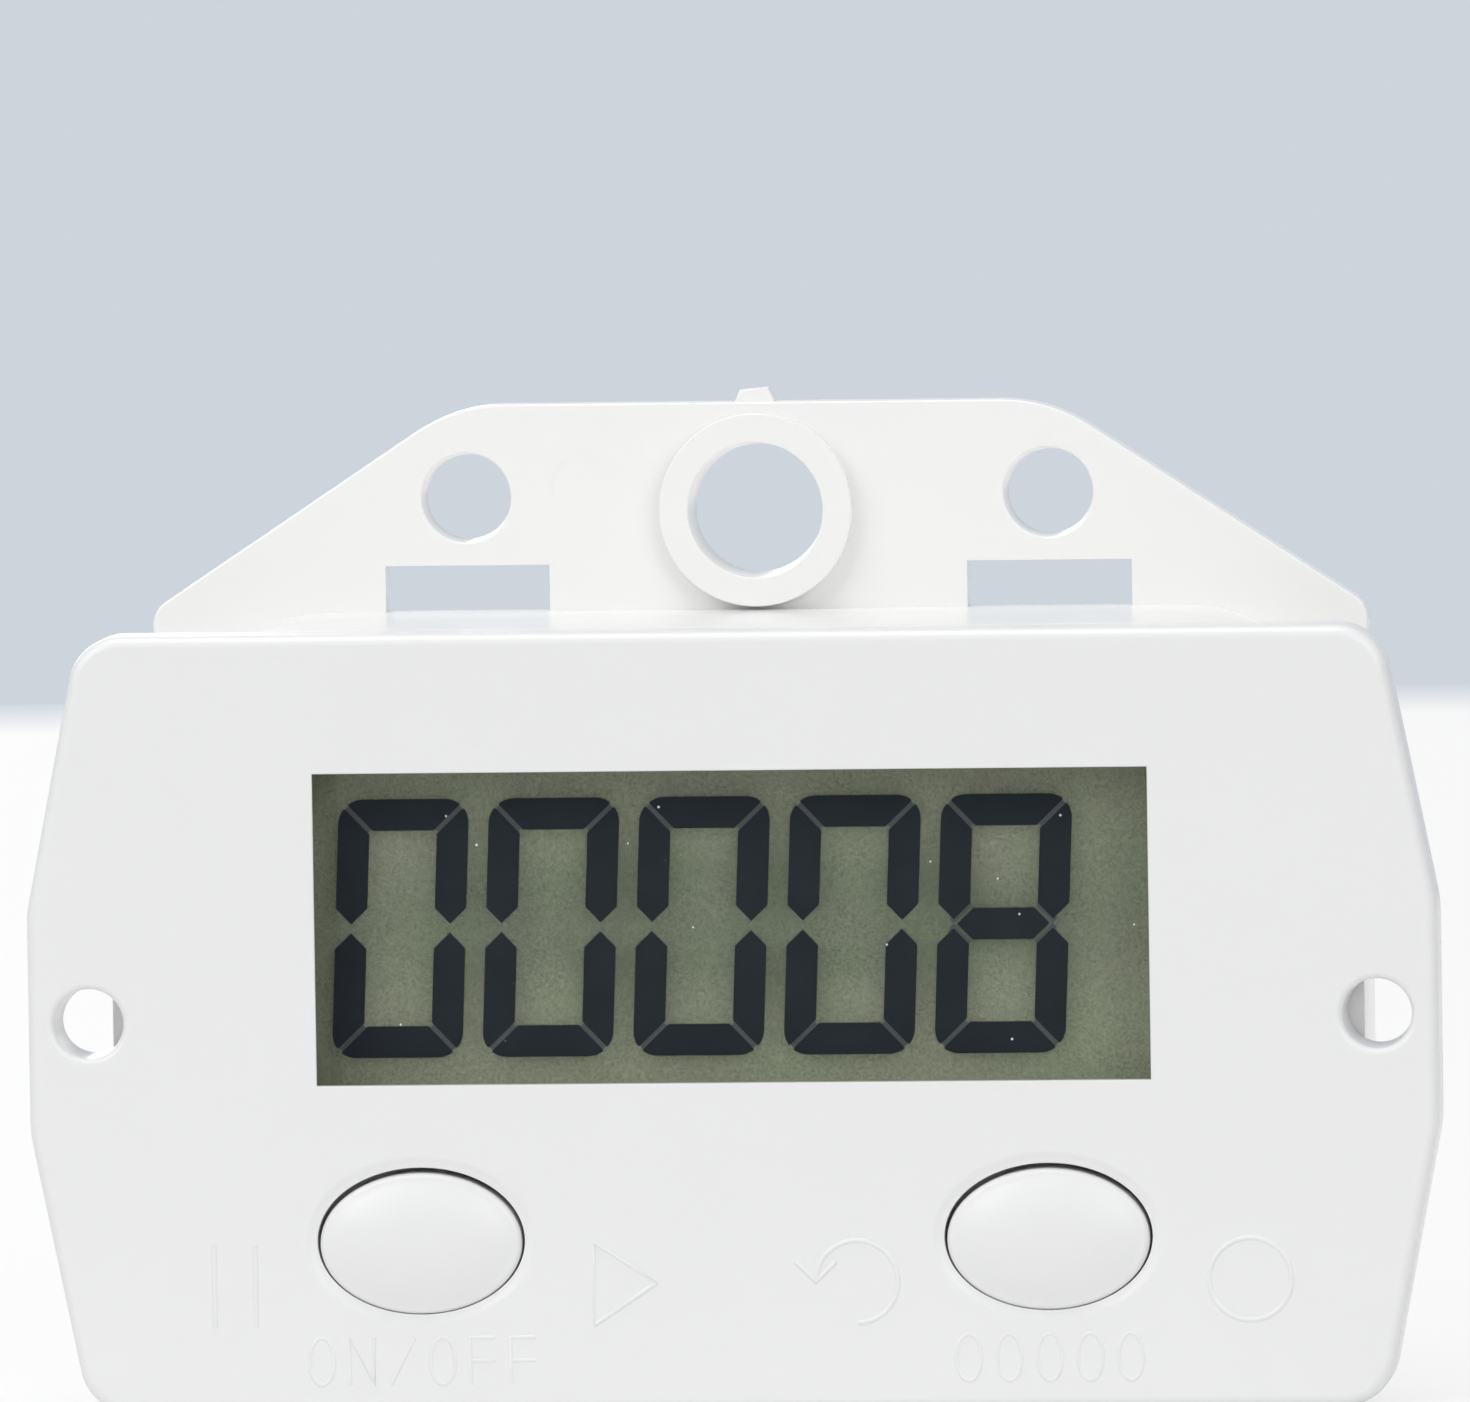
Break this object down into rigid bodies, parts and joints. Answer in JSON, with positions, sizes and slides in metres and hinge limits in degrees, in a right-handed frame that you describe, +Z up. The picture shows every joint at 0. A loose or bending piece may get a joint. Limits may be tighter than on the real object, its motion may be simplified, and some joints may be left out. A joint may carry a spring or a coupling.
{
  "type": "magnetic induction counter",
  "caption": "Small white panel counter with a digital display window, oval power and reset keys, side mounting ears, a fixing flange with a ring on top and a coin-slot battery cap behind",
  "frame": {"origin": "middle of the footprint, on the surface that the counter stands on; the depth runs from the crown of the keys to the back wall", "axes": "X to the right as seen from the front, Y from the face towards the back, Z up"},
  "size_m": [0.06, 0.0176, 0.0426],
  "materials": {
    "white_housing": "glossy white moulded ABS",
    "white_key": "high gloss white moulded ABS",
    "switch_black": "matte black moulding",
    "clear_film": "clear satin polarising film",
    "clear_glass": "clear glass",
    "grey_reflector": "grey-green transflective film",
    "holder_white": "matte white moulding",
    "zebra_rubber": "striped conductive silicone rubber",
    "board_green": "green solder mask",
    "epoxy_black": "black epoxy",
    "tan_ceramic": "tan ceramic",
    "steel": "plain zinc-bright steel",
    "nickel": "nickel-plated sheet and wire"
  },
  "bodies": {
    "root": {"front_cover": "white_housing", "back_shell": "white_housing", "power_switch_body": "switch_black", "reset_switch_body": "switch_black", "lcd_front_polarizer": "clear_film", "lcd_front_glass": "clear_glass", "lcd_rear_glass": "clear_glass", "lcd_reflector": "grey_reflector", "lcd_holder": "holder_white", "zebra_connector": "zebra_rubber", "circuit_board": "board_green", "chip_epoxy_cap": "epoxy_black", "clock_crystal": "steel", "capacitor": "tan_ceramic", "resistor_1": "epoxy_black", "resistor_2": "epoxy_black", "resistor_3": "epoxy_black", "reed_switch_glass": "clear_glass", "reed_lead_left": "nickel", "reed_lead_right": "nickel", "button_cell": "steel", "battery_contact_positive": "nickel", "battery_contact_negative": "nickel", "housing_screw_1": "steel", "housing_screw_2": "steel", "housing_screw_3": "steel", "housing_screw_4": "steel", "board_screw_1": "steel", "board_screw_2": "steel", "board_screw_3": "steel"},
    "power_key": {"power_button": "white_key", "power_switch_plunger": "switch_black"},
    "reset_key": {"reset_button": "white_key", "reset_switch_plunger": "switch_black"},
    "battery_cap": {"battery_cap": "white_housing"}
  },
  "joints": [
    {"name": "power_press", "type": "slide", "parent": "root", "child": "power_key", "axis": [0, 1, 0], "range_m": [0, 0.0005], "stiffness_N_per_m": 1500},
    {"name": "reset_press", "type": "slide", "parent": "root", "child": "reset_key", "axis": [0, 1, 0], "range_m": [0, 0.0005], "stiffness_N_per_m": 1500},
    {"name": "battery_cap_turn", "type": "hinge", "parent": "root", "child": "battery_cap", "pos_m": [0, 0.0088, 0.01605], "axis": [0, 1, 0], "range_deg": [0, 45]}
  ]
}
